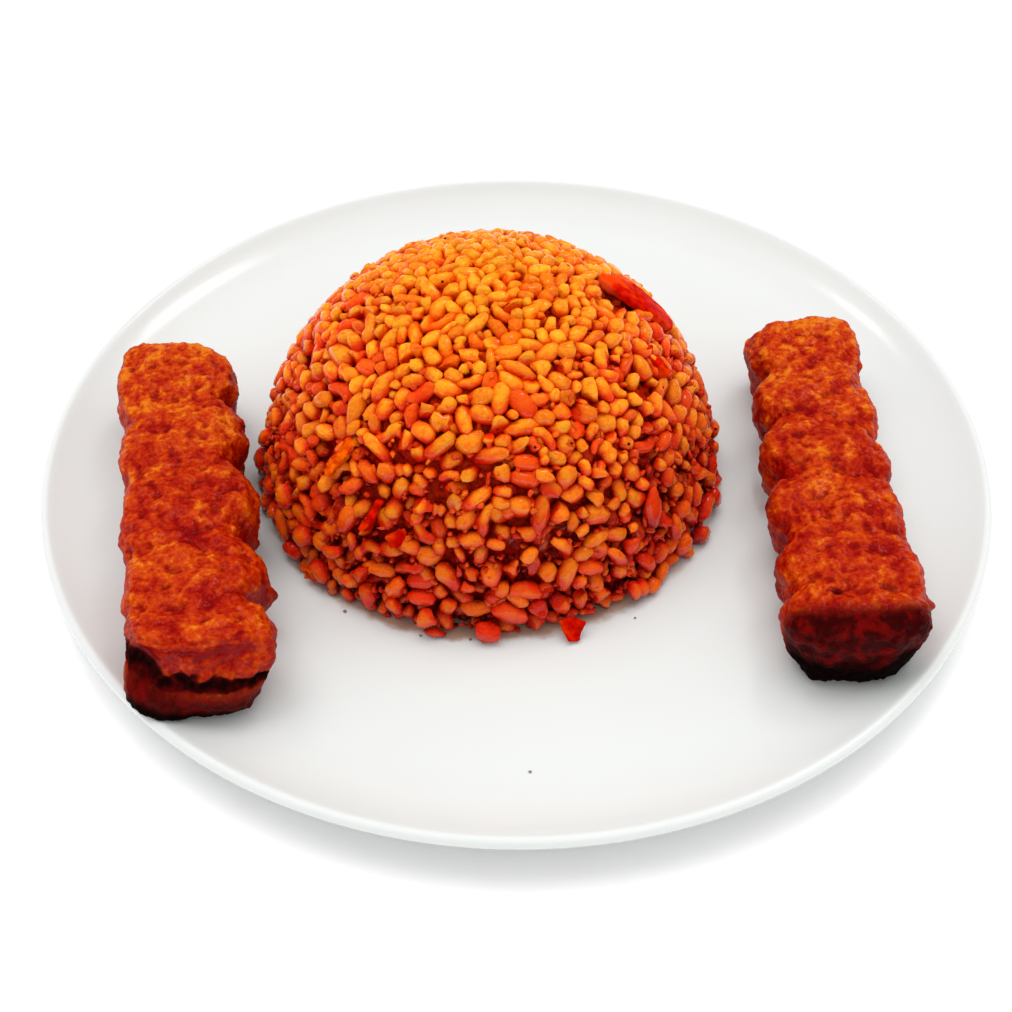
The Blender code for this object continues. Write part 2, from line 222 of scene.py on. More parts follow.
def plate_rings():
    """Radius and height of each ring of the plate, from its floor over the lip to its foot."""
    lip = 0.0016
    bend_middle = FLOOR_TOP + WALL_BEND
    last = math.asin((PLATE_RADIUS - lip - WELL_RADIUS) / (WALL_BEND + lip))
    rings = [(0.020, FLOOR_TOP), (0.060, FLOOR_TOP), (0.098, FLOOR_TOP)]
    for step in range(15):
        angle = last * step / 14
        rings.append((WELL_RADIUS + WALL_BEND * math.sin(angle), bend_middle - WALL_BEND * math.cos(angle)))
    lip_middle = WALL_BEND + lip
    for step in range(1, 8):
        angle = math.pi * step / 8 - last
        rings.append((
            WELL_RADIUS + lip_middle * math.sin(last) + lip * math.sin(angle),
            bend_middle - lip_middle * math.cos(last) + lip * math.cos(angle),
        ))
    for step in range(13):
        angle = last * (1.0 - step / 12)
        reach = WALL_BEND + 0.0032 + (0.0045 - 0.0032) * step / 12
        rings.append((WELL_RADIUS + reach * math.sin(angle), bend_middle - reach * math.cos(angle)))
    rings += [(0.0860, 0.0045), (0.0842, 0.0041), (0.0834, 0.0030), (0.0830, 0.0007), (0.0823, 0.0)]
    rings += [(0.0767, 0.0), (0.0760, 0.0007), (0.0757, 0.0030), (0.0748, 0.0041), (0.0730, 0.0045)]
    rings += [(0.020, 0.0045)]
    return rings


start_primitive()
rings = plate_rings()
bpy.ops.mesh.primitive_circle_add(vertices=192, radius=rings[0][0], location=(0.0, 0.0, rings[0][1]))
plate = bpy.context.object
plate.name = "plate_glazed"
bpy.ops.object.transform_apply(location=True)
bpy.ops.object.mode_set(mode="EDIT")
bpy.ops.mesh.select_all(action="SELECT")
for (radius, height), (next_radius, next_height) in zip(rings, rings[1:]):
    bpy.ops.mesh.extrude_region_move(TRANSFORM_OT_translate={"value": (0.0, 0.0, next_height - height)})
    wider = next_radius / radius
    bpy.ops.transform.resize(value=(wider, wider, 1.0), center_override=(0.0, 0.0, 0.0))
bpy.ops.mesh.select_all(action="SELECT")
bpy.ops.mesh.fill_holes(sides=0)
bpy.ops.mesh.normals_make_consistent(inside=False)
bpy.ops.object.mode_set(mode="OBJECT")
bpy.ops.object.shade_smooth_by_angle(angle=math.radians(35.0))

OIL_MIDDLE = (-0.0077, -0.0043, FLOOR_TOP)
STICK_SHADOW_MIDDLE = (0.0694, -0.0185, FLOOR_TOP)

glaze, cloudy, shader = start_finish("white_glaze", Roughness=0.16, IOR=1.45)
from_heap = cloudy.way_from(OIL_MIDDLE)
oil_edge = from_heap.length() + cloudy.grain(0.006, 4.0) * 0.005
towards_front = cloudy.node("ShaderNodeSeparateXYZ", None, {0: from_heap}, "Y") * -1.0
oil_film = (1.0 - oil_edge.ramp(0.0682, 0.0710)) * towards_front.ramp(0.025, 0.062)
# Painted shadow: a faint brownish darkening on the plate along the right stick's left side, where its
# shadow falls.
stick_shadow = 1.0 - cloudy.way_from(STICK_SHADOW_MIDDLE, (1.0, 0.22, 0.0)).length().ramp(0.0006, 0.0026)
white = cloudy.tint(cloudy.grain(0.05, 2.0), srgb(212, 215, 213), srgb(216, 219, 217))
white = cloudy.tint(oil_film * 0.75, white, srgb(150, 92, 40))
white = cloudy.tint(stick_shadow * cloudy.grain(0.004, 3.0) * 0.6, white, srgb(150, 116, 98))
feed(
    shader,
    Base_Color=white,
    Normal=cloudy.bump(cloudy.grain(0.012, 1.0), 0.00004),
)
plate.data.materials.append(glaze)
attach(plate, "root")
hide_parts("plate")


# ---- Bulgur: the mash between the grains ----
# Cooked bulgur in oil and tomato, pressed in a bowl and turned out on the plate. Between the
# whole grains lies a paste of broken ones, flush at the dome's top and sunk back lower down.

HEAP_MIDDLE = np.array([-7.7, -4.3, 9.3])
HEAP_REACH = 65.2
HEAP_SQUARENESS = 2.10
HEAP_LEAN = 0.010
FOOT_SPREAD = 1.3
MASH_SINK = 4.2
MASH_LUMPS = 1.5


def mould_reach(spots):
    """Distance in millimetres from the heap's middle to the bowl's wall, along unit directions."""
    flat = np.hypot(spots[:, 0], spots[:, 1])
    up = np.maximum(spots[:, 2], 0.0)
    power = HEAP_SQUARENESS
    reach = HEAP_REACH * (flat ** power + up ** power) ** (-1.0 / power)
    return reach + FOOT_SPREAD * (1.0 - up) ** 6


def set_down(points):
    """Points of the heap in its own millimetres, set down on the plate in metres."""
    placed = points.copy()
    placed[..., 0] += HEAP_LEAN * points[..., 2]
    return (placed + HEAP_MIDDLE) * 0.001


start_primitive()
bpy.ops.mesh.primitive_uv_sphere_add(segments=320, ring_count=170, radius=60.0)
mash = bpy.context.object
mash.name = "bulgur_mash"
bpy.ops.object.mode_set(mode="EDIT")
bpy.ops.mesh.select_all(action="SELECT")
bpy.ops.mesh.bisect(plane_co=(0.0, 0.0, 0.2), plane_no=(0.0, 0.0, -1.0), use_fill=True, clear_outer=True)
bpy.ops.object.mode_set(mode="OBJECT")
spots = np.array([vert.co for vert in mash.data.vertices])
lengths = np.linalg.norm(spots, axis=1)
directions = spots / lengths[:, None]
sink = MASH_SINK + 1.4 * (1.0 - directions[:, 2]) ** 1.1
lumps = np.array([noise.fractal(Vector(spot) * 0.42, 0.7, 2.1, 4) for spot in spots])
wanted = mould_reach(directions) - sink + MASH_LUMPS * lumps
spots = directions * wanted[:, None]
spots[:, 2] = np.maximum(spots[:, 2], 0.02)
mash_points = set_down(spots)
mash.data.vertices.foreach_set("co", mash_points.ravel())
# The paste is painted darker and redder towards the foot: partly its own redder sauce, partly painted shade
# on the dome's lower sides.
lit_height = np.clip(directions[:, 2], 0.0, 1.0)[:, None]
lit_high_mash = np.array(srgb(238, 60, 2))
shaded_low_mash = np.array(srgb(140, 2, 0))
colours = shaded_low_mash + (lit_high_mash - shaded_low_mash) * lit_height ** 1.8
tint = mash.data.color_attributes.new("tint", "FLOAT_COLOR", "POINT")
tint.data.foreach_set("color", colours.ravel())
bpy.ops.object.shade_smooth()

paste, cloudy, shader = start_finish(
    "bulgur_paste", Specular_IOR_Level=0.02, Coat_Weight=0.10, Coat_Roughness=0.14
)
# The paste's tint, its painted shade included.
soaked_and_shaded = cloudy.node("ShaderNodeAttribute", {"attribute_name": "tint"}, None, "Color")
mottle = cloudy.grain(0.0016, 4.0, 0.6)
flecks = cloudy.grain(0.0042, 2.0, 0.5, (0.3, 0.1, 0.0)).ramp(0.52, 0.66)
soaked_and_shaded = cloudy.tint(mottle.ramp(0.35, 0.65) * 0.50, soaked_and_shaded, srgb(100, 1, 0))
soaked_and_shaded = cloudy.tint(flecks * 0.4, soaked_and_shaded, srgb(216, 42, 3))
feed(
    shader,
    Base_Color=soaked_and_shaded,
    Roughness=0.30 + mottle * 0.3,
    Normal=cloudy.bump(mottle, 0.0015),
)
mash.data.materials.append(paste)
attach(mash, "root")
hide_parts("bulgur_heap")


# ---- Bulgur: the grains ----
# Coarse wheat grains, swollen soft: plump ones, creased ones, curled ones, cut and split ones.
# Each kind is modelled once and its copies lie as they packed against the bowl's wall.

def select_where(thing, test):
    """In edit mode, selects only the vertices that the test names."""
    bpy.ops.mesh.select_all(action="DESELECT")
    shape = bmesh.from_edit_mesh(thing.data)
    for vert in shape.verts:
        if test(vert.co):
            vert.select_set(True)
    shape.select_flush(True)
    bmesh.update_edit_mesh(thing.data)


def model_grain(groove=0.0, waist=1.0, bend=0.0, taper=1.0, slim=1.0, cuts=(), segments=10, rings=8):
    """One grain at unit half sizes: its length along X, its crease on top, its cut faces flat."""
    start_primitive()
    bpy.ops.mesh.primitive_uv_sphere_add(
        segments=segments, ring_count=rings, radius=1.0, rotation=(0.0, math.pi / 2, 0.0)
    )
    grain = bpy.context.object
    bpy.ops.object.transform_apply(rotation=True)
    bpy.ops.object.mode_set(mode="EDIT")
    select_where(grain, lambda spot: 0.6 < abs(spot.x) < 0.98)
    bpy.ops.transform.resize(value=(1.0, 1.16, 1.16), center_override=(0.0, 0.0, 0.0))
    select_where(grain, lambda spot: abs(spot.y) < 0.1 and spot.z > 0.3)
    bpy.ops.transform.translate(value=(0.0, 0.0, -groove))
    select_where(grain, lambda spot: abs(spot.x) < 0.2)
    bpy.ops.transform.resize(value=(1.0, waist, waist), center_override=(0.0, 0.0, 0.0))
    select_where(grain, lambda spot: spot.x > 0.3)
    bpy.ops.transform.resize(value=(1.0, taper, taper), center_override=(0.0, 0.0, 0.0))
    bpy.ops.mesh.select_all(action="SELECT")
    longer = 1.0 + 0.9 * (1.0 - slim)
    bpy.ops.transform.resize(value=(longer, slim, 0.5 + 0.5 * slim), center_override=(0.0, 0.0, 0.0))
    bpy.ops.mesh.normals_make_consistent(inside=False)
    bpy.ops.object.mode_set(mode="OBJECT")
    for middle, facing in cuts:
        facing = Vector(facing).normalized()
        for vert in grain.data.vertices:
            vert.co -= facing * max(0.0, (vert.co - Vector(middle)).dot(facing))
    if bend:
        curl = grain.modifiers.new("curl", "SIMPLE_DEFORM")
        curl.deform_method = "BEND"
        curl.deform_axis = "Z"
        curl.angle = math.radians(bend)
        bpy.ops.object.modifier_apply(modifier="curl")
        bpy.ops.object.origin_set(type="GEOMETRY_ORIGIN", center="BOUNDS")
    return grain


# How the grains pack, in millimetres: which balls may touch, how much they yield, and how thick
# the layer of grains is.
NEAR_ENOUGH = 6.2
SOFTNESS = 0.97
LAYER_DEPTH = 7.5
PACKING_TURNS = 90


def press_together(centre, axis, arm, ball, ceiling, turns):
    """Pushes the grains apart and against the wall, each as a chain of three soft balls."""
    count = len(centre)
    chain = np.array([-1.0, 0.0, 1.0])
    owner = np.repeat(np.arange(count), 3)
    size = ball[owner]
    for turn in range(turns):
        offsets = axis[:, None, :] * (arm[:, None, None] * chain[None, :, None])
        balls = (centre[:, None, :] + offsets).reshape(-1, 3)
        if turn % 9 == 0:
            near = kdtree.KDTree(len(balls))
            for index, spot in enumerate(balls.tolist()):
                near.insert(spot, index)
            near.balance()
            first, second = [], []
            for index, spot in enumerate(balls.tolist()):
                for _, other, _ in near.find_range(spot, NEAR_ENOUGH):
                    if other > index and owner[other] != owner[index]:
                        first.append(index)
                        second.append(other)
            first, second = np.array(first), np.array(second)
        gap = balls[first] - balls[second]
        apart = np.maximum(np.linalg.norm(gap, axis=1), 1e-4)
        overlap = np.maximum((size[first] + size[second]) * SOFTNESS - apart, 0.0)
        push = gap * (overlap / apart * 0.5)[:, None]
        shove = np.stack([
            np.bincount(first, push[:, side], len(balls)) - np.bincount(second, push[:, side], len(balls))
            for side in range(3)
        ], axis=1)
        reach = np.linalg.norm(balls, axis=1)
        out = balls / reach[:, None]
        wall = mould_reach(out) - size - ceiling[owner]
        shove -= out * np.maximum(reach - wall, 0.0)[:, None] * 0.8
        shove += out * np.maximum(wall - LAYER_DEPTH - reach, 0.0)[:, None] * 0.3
        shove[:, 2] += np.maximum(size + 0.1 - balls[:, 2], 0.0) * 0.8
        shove = shove.reshape(count, 3, 3)
        arms = balls.reshape(count, 3, 3) - centre[:, None, :]
        twist = np.cross(arms, shove).sum(axis=1) / (2.0 * arm ** 2 + 0.6 * ball ** 2)[:, None]
        centre = centre + shove.sum(axis=1) * 0.42
        if turn < turns * 0.7:
            centre += centre / np.linalg.norm(centre, axis=1)[:, None] * 0.10
        axis = axis + np.cross(twist, axis) * 0.6
        axis /= np.linalg.norm(axis, axis=1)[:, None]
    return centre, axis


def heading(azimuth, elevation):
    """The unit direction at that azimuth and elevation in degrees."""
    turn, rise = math.radians(azimuth), math.radians(elevation)
    return np.array([math.cos(turn) * math.cos(rise), math.sin(turn) * math.cos(rise), math.sin(rise)])


luck = np.random.default_rng(20)
GRAINS = 2900
directions = luck.normal(size=(GRAINS, 3))
directions[:, 2] = np.abs(directions[:, 2])
directions /= np.linalg.norm(directions, axis=1)[:, None]
low = 1.0 - directions[:, 2]
half_length = luck.uniform(2.5, 3.8, GRAINS)
half_width = luck.uniform(2.0, 2.6, GRAINS)
plump = luck.random(GRAINS) < 0.12
half_length[plump] = luck.uniform(3.6, 4.4, plump.sum())
half_width[plump] = luck.uniform(2.3, 2.9, plump.sum())
small = luck.random(GRAINS) < 0.24
half_length[small] = luck.uniform(1.7, 2.4, small.sum())
half_width[small] = luck.uniform(1.4, 1.9, small.sum())
larger_below = 0.88 + 0.20 * np.clip(low / 0.45, 0.0, 1.0)
half_length *= larger_below
half_width *= larger_below
ball = np.minimum(half_width, half_length) * 0.94
arm = np.maximum(half_length - ball, 0.05)
ceiling = np.abs(luck.normal(size=GRAINS)) * (0.12 + 1.15 * np.clip((low - 0.18) / 0.5, 0.0, 1.0))
at_foot = (directions[:, 2] < 0.10) & (luck.random(GRAINS) < 0.45)
most_in_front = np.clip(0.3 - 1.2 * directions[at_foot, 1], 0.2, 1.0)
ceiling[at_foot] = -luck.uniform(0.5, 2.6, at_foot.sum()) * most_in_front
centre = directions * (mould_reach(directions) - 2.0 - 6.0 * luck.random(GRAINS))[:, None]
centre[:, 2] = np.maximum(centre[:, 2], 1.8)
axis = luck.normal(size=(GRAINS, 3))
axis /= np.linalg.norm(axis, axis=1)[:, None]
SLICE_AZIMUTH = 11.5
SLICE_ELEVATION = 51.0
slice_middle = heading(SLICE_AZIMUTH, SLICE_ELEVATION)
slice_along = heading(SLICE_AZIMUTH + 180.0, 90.0 - SLICE_ELEVATION)
slice_across = np.cross(slice_middle, slice_along) * -1.0


def in_slice_bed(spots, margin):
    """Which unit directions lie in the tomato's bed, whose near edge a few grains cover."""
    along, across = spots @ slice_along * HEAP_REACH, spots @ slice_across * HEAP_REACH
    covered = (np.abs(along + 0.5) < 4.2 - margin) & (across < -2.6)
    inside = (np.abs(along + 0.8) < 13.4 + margin) & (np.abs(across - 1.4) < 7.6 + margin) & ~covered
    return inside & (spots @ slice_middle > 0.5)


ceiling[in_slice_bed(directions, 0.0)] += 3.0
centre, axis = press_together(centre, axis, arm, ball, ceiling, PACKING_TURNS)

reach = np.linalg.norm(centre, axis=1)
outward = centre / reach[:, None]
# The hollows between the grains: azimuth, elevation and half width in millimetres.
HOLLOWS = (
    (-122.8, 32.6, 2.6), (-104.0, 35.9, 1.8), (-115.8, 22.7, 2.0), (-49.1, 23.5, 2.4), (-88.9, 22.6, 2.4),
    (-95.0, 19.5, 2.0), (-64.3, 3.0, 2.6), (-90.0, 7.5, 2.2), (-58.8, 29.8, 2.0), (75.0, 24.0, 2.4),
    (128.0, 15.0, 2.4), (20.0, 20.0, 2.4),
)
depth = mould_reach(outward) - reach
low = 1.0 - outward[:, 2]
kept = (depth > 3.6) | (luck.random(GRAINS) > 0.045 * np.clip(low * 2.0 - 0.2, 0.1, 1.0))
kept &= (depth > 3.0) | ~in_slice_bed(outward, 0.4)
for azimuth, elevation, width in HOLLOWS:
    hollow = heading(azimuth, elevation)
    aside = outward - hollow * (outward @ hollow)[:, None]
    kept &= (np.linalg.norm(aside, axis=1) * HEAP_REACH > width) | (depth > 4.4) | (low > 1.0)

# Colour steps up the heap. The lower steps are darker and redder: partly the grains' own redder sauce,
# partly painted shade on the dome's lower sides; the upper steps are painted lighter, as lit from above.
HEIGHTS = (0.0, 0.14, 0.47, 0.83, 1.0, 1.15)
LIT_TOP_STEPS = (
    (238, 106, 16), (238, 106, 16), (240, 132, 22), (255, 156, 28), (252, 168, 34), (243, 170, 28),
)
BODY_STEPS = (
    (220, 36, 1), (220, 36, 1), (222, 48, 1), (242, 70, 1), (254, 122, 3), (245, 148, 6),
)
SHADED_EDGE_STEPS = (
    (142, 1, 0), (142, 1, 0), (156, 2, 0), (222, 10, 0), (246, 64, 1), (243, 98, 2),
)


def tint_at(height, steps):
    """The colour at each height on the heap, between the steps given in screen numbers."""
    steps = np.array([srgb(*step)[:3] for step in steps])
    return np.stack([np.interp(height, HEIGHTS, steps[:, side]) for side in range(3)], axis=1)


hue = luck.random(GRAINS)
# How strongly each grain's top is painted lit; a few grains get almost none.
lit_top_amount = np.clip(luck.normal(0.9, 0.25, GRAINS), 0.3, 1.3)
lit_top_amount[hue < 0.11] = 0.15
paleness = np.where(hue > 0.90, 0.7, 0.0)
shade = luck.uniform(0.86, 1.12, GRAINS)

kinds = {
    "bulgur_plump": (model_grain(groove=0.06), 0.20),
    "bulgur_creased": (model_grain(groove=0.34, taper=0.92), 0.21),
    "bulgur_curled": (model_grain(groove=0.10, bend=105.0, slim=0.84), 0.16),
    "bulgur_hooked": (model_grain(bend=190.0, taper=0.92, slim=0.66), 0.11),
    "bulgur_stub": (
        model_grain(
            groove=0.10,
            cuts=(((0.5, 0.0, 0.0), (1.0, 0.2, 0.2)), ((-0.6, 0.0, 0.0), (-1.0, 0.3, -0.1))),
        ),
        0.14,
    ),
    "bulgur_chip": (
        model_grain(cuts=(((0.3, 0.2, 0.0), (1.0, 0.8, 0.1)), ((0.0, 0.0, 0.5), (-0.4, -0.3, 1.0)))),
        0.05,
    ),
    "bulgur_split": (model_grain(groove=0.50, waist=0.70), 0.09),
    "bulgur_wedge": (
        model_grain(groove=0.20, taper=0.55, cuts=(((-0.5, 0.0, 0.0), (-1.0, 0.1, 0.5)),)),
        0.04,
    ),
}
crumbs = 1900
kinds["bulgur_bits"] = (
    model_grain(groove=0.3, taper=0.6, cuts=(((0.2, 0.3, 0.0), (1.0, 1.0, 0.3)),), segments=8, rings=6),
    1.0,
)

moist, cloudy, shader = start_finish(
    "moist_bulgur", Specular_IOR_Level=0.04, Coat_Weight=0.75, Coat_Roughness=0.14
)
# The grains' tint, with painted light on their tops and painted shade on their flanks and in the gaps.
lit_and_shaded_tint = cloudy.node("ShaderNodeAttribute", {"attribute_name": "tint"}, None, "Color")
mottle = cloudy.grain(0.0018, 4.0, 0.6)
sauce = cloudy.grain(0.0075, 3.0, 0.6, (0.2, 0.5, 0.1)).ramp(0.54, 0.68)
colour = cloudy.tint(mottle.ramp(0.48, 0.66) * 0.46, lit_and_shaded_tint, srgb(234, 56, 2))
colour = cloudy.tint(sauce * 0.38, colour, srgb(226, 22, 1))
place = cloudy.node("ShaderNodeTexCoord", output="Object")
dots = cloudy.node("ShaderNodeTexVoronoi", None, {"Vector": place, "Scale": 210.0}, "Distance")
chosen = cloudy.node("ShaderNodeTexVoronoi", None, {"Vector": place, "Scale": 210.0}, "Color")
chosen = cloudy.node("ShaderNodeSeparateColor", None, {"Color": chosen}, "Red") > 0.80
colour = cloudy.tint((1.0 - dots.ramp(0.07, 0.12)) * chosen, colour, srgb(46, 18, 10))
feed(
    shader,
    Base_Color=colour,
    Roughness=0.24 + mottle * 0.26,
    Normal=cloudy.bump(cloudy.grain(0.0016, 4.0, 0.62), 0.0011),
)

kind_pick = luck.random(GRAINS)
bits = luck.normal(size=(crumbs, 3))
bits[:, 2] = np.abs(bits[:, 2]) * 0.72
bits /= np.linalg.norm(bits, axis=1)[:, None]
bit_axis = luck.normal(size=(crumbs, 3))
bit_axis /= np.linalg.norm(bit_axis, axis=1)[:, None]
bit_sink = luck.uniform(1.0, 2.9, crumbs) + 1.3 * (1.0 - bits[:, 2]) * luck.random(crumbs)
centre = np.concatenate([centre, bits * (mould_reach(bits) - bit_sink)[:, None]])
axis = np.concatenate([axis, bit_axis])
outward = np.concatenate([outward, bits])
kept = np.concatenate([kept, ~in_slice_bed(bits, 1.5)])
kind_pick = np.concatenate([kind_pick, np.full(crumbs, 1.5)])
half_length = np.concatenate([half_length, luck.uniform(0.8, 1.9, crumbs)])
half_width = np.concatenate([half_width, luck.uniform(0.6, 1.1, crumbs)])
room = np.concatenate([np.maximum(-ceiling, 0.0), np.zeros(crumbs)])
lit_top_amount = np.concatenate([lit_top_amount, luck.uniform(0.0, 0.5, crumbs)])
paleness = np.concatenate([paleness, np.zeros(crumbs)])
shade = np.concatenate([shade, luck.uniform(0.75, 1.05, crumbs)])
total = GRAINS + crumbs
roll = luck.normal(size=total) * 0.8
flip = np.where(luck.random(total) < 0.5, -1.0, 1.0)
flatness = luck.uniform(0.80, 0.96, total)
start_share = 0.0
for name, (model, share) in kinds.items():
    chosen = kept & (kind_pick >= start_share) & (kind_pick < start_share + share)
    start_share += share
    base = np.array([vert.co for vert in model.data.vertices])
    faces = [list(face.vertices) for face in model.data.polygons]
    count = int(chosen.sum())
    along = axis[chosen]
    up = outward[chosen] - along * np.einsum("ij,ij->i", outward[chosen], along)[:, None]
    up /= np.maximum(np.linalg.norm(up, axis=1), 1e-3)[:, None]
    side = np.cross(up, along)
    turned = roll[chosen][:, None]
    up, side = up * np.cos(turned) + side * np.sin(turned), side * np.cos(turned) - up * np.sin(turned)
    axes = np.stack([
        along * half_length[chosen][:, None],
        side * (half_width[chosen] * flip[chosen])[:, None],
        up * (half_width[chosen] * flatness[chosen])[:, None],
    ], axis=2)
    shape = np.repeat(base[None], count, axis=0)
    for height, quickest in ((0.11, 2.6), (0.060, 6.5)):
        waves = luck.uniform(-quickest, quickest, size=(count, 3, 3))
        phase = luck.uniform(0.0, 6.28, size=(count, 1, 3))
        shape += height * np.sin(np.einsum("vj,njk->nvk", base, waves) + phase)
    swell = 1.02 + 0.13 * outward[chosen][:, 2] ** 2
    points = np.einsum("nij,nvj->nvi", axes * swell[:, None, None], shape) + centre[chosen][:, None, :]
    flat = points.reshape(-1, 3)
    reach = np.linalg.norm(flat, axis=1)
    out = flat / reach[:, None]
    wall = mould_reach(out) + 0.25 + np.repeat(room[chosen], len(base))
    limit = np.where(reach > wall, wall + (reach - wall) * 0.25, reach)
    flat = out * limit[:, None]
    flat[:, 2] = np.maximum(flat[:, 2], 0.03)
    # Each grain's side that faces out and up is painted yellow: partly its own yellow, partly painted light
    # from above.
    upper = outward[chosen] + np.array([0.0, 0.0, 0.40])
    upper /= np.linalg.norm(upper, axis=1)[:, None]
    lift = np.einsum("nvi,ni->nv", points - centre[chosen][:, None, :], upper)
    lift = (lift / (half_width[chosen] * flatness[chosen])[:, None]).reshape(-1)
    # The back of the dome counts as higher, so that it is painted lighter: painted light from the lamps
    # behind.
    height = np.repeat(outward[chosen][:, 2] + 0.3 * np.maximum(outward[chosen][:, 1], 0.0), len(base))
    lit_top_start = 0.52 + 0.18 * np.clip(1.0 - height, 0.0, 1.0)
    lit_top_share = np.clip((lift - lit_top_start) / 0.42, 0.0, 1.0) * np.repeat(lit_top_amount[chosen], len(base))
    pale_share = np.repeat(paleness[chosen], len(base)) * (lift > 0.0)
    lit_top_share = np.clip(np.maximum(lit_top_share, pale_share), 0.0, 1.0)[:, None]
    # Flanks and sunk parts are painted dark red, partly sauce settled between the grains, partly painted
    # shade; grains deep in the gaps are painted darker still, painted shade.
    sunk = mould_reach(out) - limit
    shaded_edge_share = np.clip(np.maximum((0.62 - lift) / 0.85, (sunk - 1.0) / 2.6), 0.0, 1.0)[:, None]
    gap_shade = np.clip((sunk - 3.0) / 1.6, 0.0, 1.0)[:, None] * (1.0 - 0.85 * np.clip(out[:, 2:], 0.0, 1.0))
    colours = tint_at(height, BODY_STEPS) * (1.0 - lit_top_share) + tint_at(height, LIT_TOP_STEPS) * lit_top_share
    colours *= np.repeat(shade[chosen], len(base))[:, None]
    colours = colours * (1.0 - shaded_edge_share) + tint_at(height, SHADED_EDGE_STEPS) * shaded_edge_share
    colours *= 1.0 - 0.75 * gap_shade
    colours = np.concatenate([colours, np.ones((len(colours), 1))], axis=1)
    mesh = bpy.data.meshes.new(name)
    all_faces = [[corner + copy * len(base) for corner in face] for copy in range(count) for face in faces]
    mesh.from_pydata(set_down(flat).tolist(), [], all_faces)
    grains = bpy.data.objects.new(name, mesh)
    bpy.context.scene.collection.objects.link(grains)
    tint = mesh.color_attributes.new("tint", "FLOAT_COLOR", "POINT")
    tint.data.foreach_set("color", colours.ravel())
    start_primitive()
    bpy.context.view_layer.objects.active = grains
    grains.select_set(True)
    bpy.ops.object.mode_set(mode="EDIT")
    bpy.ops.mesh.select_all(action="SELECT")
    bpy.ops.mesh.normals_make_consistent(inside=False)
    bpy.ops.object.mode_set(mode="OBJECT")
    bpy.ops.object.shade_smooth()
    mesh.materials.append(moist)
    bpy.data.objects.remove(model)
    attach(grains, "root")
    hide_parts("bulgur_heap")


# ---- Tomato in the pilaf ----
# A piece of cooked tomato is pressed flat into the dome's shoulder, skin outwards, and a torn
# scrap of its skin has fallen at the foot. Both are wet, and wrinkled from cooking.

PALE_END = (0.0200, 0.0, 0.0640)

wet, cloudy, shader = start_finish(
    "wet_tomato", Specular_IOR_Level=0.0, Coat_Weight=0.06, Coat_Roughness=0.12
)
pale_end = 1.0 - cloudy.way_from(PALE_END).length().ramp(0.003, 0.0075)
streaks = cloudy.grain(0.0022, 4.0, 0.65)
lit = cloudy.grain(0.007, 2.0, 0.5, (0.1, 0.2, 0.0))
skin = cloudy.tint(streaks.ramp(0.35, 0.7), srgb(166, 8, 0), srgb(214, 30, 2))
skin = cloudy.tint(lit.ramp(0.48, 0.64) * 0.7, skin, srgb(230, 70, 8))
skin = cloudy.tint(pale_end * 0.5, skin, srgb(230, 112, 50))
feed(
    shader,
    Base_Color=skin,
    Roughness=0.22 + streaks * 0.2,
    Normal=cloudy.bump(streaks, 0.00016),
)


def dress_cad_piece(node, name):
    """A copy of a node's mesh, its doubles merged, ready to be worked on."""
    start_primitive()
    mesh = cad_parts[node].data.copy()
    mesh.name = name
    piece = bpy.data.objects.new(name, mesh)
    bpy.context.scene.collection.objects.link(piece)
    bpy.context.view_layer.objects.active = piece
    piece.select_set(True)
    bpy.ops.object.mode_set(mode="EDIT")
    bpy.ops.mesh.select_all(action="SELECT")
    bpy.ops.mesh.remove_doubles(threshold=0.00001)
    bpy.ops.mesh.normals_make_consistent(inside=False)
    bpy.ops.object.mode_set(mode="OBJECT")
    piece.data.materials.clear()
    return piece


slice_shift = slice_middle * -0.0001 + slice_across * 0.0014
scrap_shift = (0.0, 0.0013, 0.0)
scrap_tears = ((-32.0, 0.0024), (-146.0, 0.0023), (64.0, 0.0026))
for node, voxel, uneven, shift, tears in (
    ("tomato_slice", 0.00045, 0.0004, slice_shift, ()),
    ("tomato_scrap", 0.00025, 0.0016, scrap_shift, scrap_tears),
):
    flesh = dress_cad_piece(node, node + "_wet")
    middle = sum((vert.co for vert in flesh.data.vertices), Vector()) / len(flesh.data.vertices)
    for turn, reach in tears:
        away = Vector((math.cos(math.radians(turn)), math.sin(math.radians(turn)), 0.0))
        bpy.ops.object.mode_set(mode="EDIT")
        bpy.ops.mesh.select_all(action="SELECT")
        bpy.ops.mesh.bisect(plane_co=middle + away * reach, plane_no=away, use_fill=True, clear_outer=True)
        bpy.ops.object.mode_set(mode="OBJECT")
    block = flesh.modifiers.new("even", "REMESH")
    block.mode = "VOXEL"
    block.voxel_size = voxel
    bpy.ops.object.modifier_apply(modifier="even")
    soften = flesh.modifiers.new("soften", "SMOOTH")
    soften.iterations = 4
    bpy.ops.object.modifier_apply(modifier="soften")
    ripple = bpy.data.textures.new(node + "_ripple", "CLOUDS")
    ripple.noise_scale = 0.003
    wrinkle = flesh.modifiers.new("wrinkle", "DISPLACE")
    wrinkle.texture = ripple
    wrinkle.strength = uneven
    bpy.ops.object.modifier_apply(modifier="wrinkle")
    bpy.ops.object.shade_smooth()
    bpy.ops.transform.translate(value=shift)
    bpy.ops.object.transform_apply(location=True)
    for vert in flesh.data.vertices:
        vert.co.z = max(vert.co.z, FLOOR_TOP + 0.0001)
    flesh.data.materials.append(wet)
    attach(flesh, "root")
    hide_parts(node)


# ---- Red bits in the pilaf ----
# Shreds and flecks of cooked pepper and tomato, a few millimetres long, curled and wet. They lie
# between the grains, and one orange fleck sticks out at the dome's foot.

